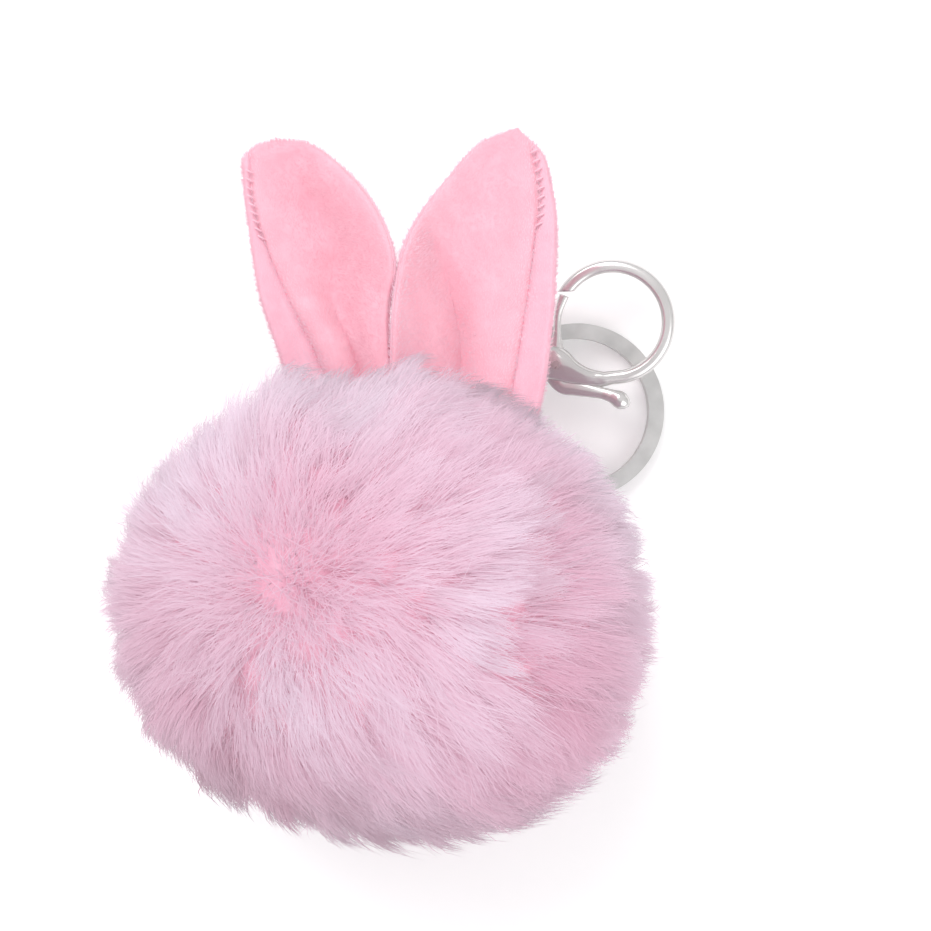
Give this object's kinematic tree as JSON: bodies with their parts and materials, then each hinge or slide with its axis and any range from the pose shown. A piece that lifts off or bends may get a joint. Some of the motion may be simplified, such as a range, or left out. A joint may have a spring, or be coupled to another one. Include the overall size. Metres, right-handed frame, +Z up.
{
  "type": "plush keychain",
  "caption": "Round faux-fur pompom with two fabric rabbit ears, a split key ring and a swivel claw clasp on a short elastic loop.",
  "frame": {"origin": "centre of the flat patch that the fur ball rests on", "axes": "+Y from the ball towards the ear tips, +Z up off the table, +X towards the key ring"},
  "size_m": [0.093, 0.1135, 0.075],
  "materials": {
    "fur": "matte",
    "backing_fabric": "matte",
    "stuffing": "matte",
    "thread": "matte",
    "elastic_cord": "matte",
    "ear_velour": "matte",
    "ear_back_velour": "matte",
    "key_ring_steel": "satin",
    "clasp_plating": "polished",
    "pin_steel": "satin"
  },
  "bodies": {
    "pompom": {"fur_pile": "fur", "fur_backing": "backing_fabric", "fibre_stuffing": "stuffing", "gather_drawstring": "thread", "drawstring_knot": "thread", "hanger_loop": "elastic_cord", "hanger_loop_knot": "elastic_cord", "left_ear_tack_stitches": "thread", "right_ear_tack_stitches": "thread"},
    "left_ear": {"left_ear_front_panel": "ear_velour", "left_ear_back_panel": "ear_back_velour", "left_ear_whip_stitches": "thread"},
    "right_ear": {"right_ear_front_panel": "ear_velour", "right_ear_back_panel": "ear_back_velour", "right_ear_whip_stitches": "thread"},
    "key_ring": {"split_key_ring": "key_ring_steel"},
    "clasp_eye": {"swivel_eye": "clasp_plating"},
    "clasp": {"clasp_body": "clasp_plating", "lever_pin": "pin_steel", "lever_spring": "pin_steel"},
    "lever": {"clasp_lever": "clasp_plating"}
  },
  "joints": [
    {"name": "left_ear_flop", "type": "hinge", "parent": "pompom", "child": "left_ear", "pos_m": [-0.007, 0.0245, 0.037], "axis": [1, 0, 0], "range_deg": [-12, 20], "stiffness_Nm_per_rad": 0.02},
    {"name": "right_ear_flop", "type": "hinge", "parent": "pompom", "child": "right_ear", "pos_m": [0.012, 0.0245, 0.037], "axis": [1, 0, 0], "range_deg": [-12, 20], "stiffness_Nm_per_rad": 0.02},
    {"name": "key_ring_swing", "type": "hinge", "parent": "pompom", "child": "key_ring", "pos_m": [0.01954, 0.02677, 0.00415], "axis": [0.3073, -0.9511, -0.0323], "range_deg": [0, 20]},
    {"name": "clasp_swing", "type": "hinge", "parent": "key_ring", "child": "clasp_eye", "pos_m": [0.01908, 0.03338, 0.0042], "axis": [-0.1727, -0.9848, 0.0182], "range_deg": [0, 20]},
    {"name": "clasp_swivel", "type": "hinge", "parent": "clasp_eye", "child": "clasp", "pos_m": [0.01908, 0.03338, 0.0048], "axis": [-0.8286, -0.5422, -0.1392], "range_deg": [0, 20]},
    {"name": "lever_open", "type": "hinge", "parent": "clasp", "child": "lever", "pos_m": [0.02897, 0.03889, 0.00639], "axis": [0.1165, 0.0762, -0.9903], "range_deg": [0, 20], "stiffness_Nm_per_rad": 0.02, "springref_deg": -5.73}
  ]
}
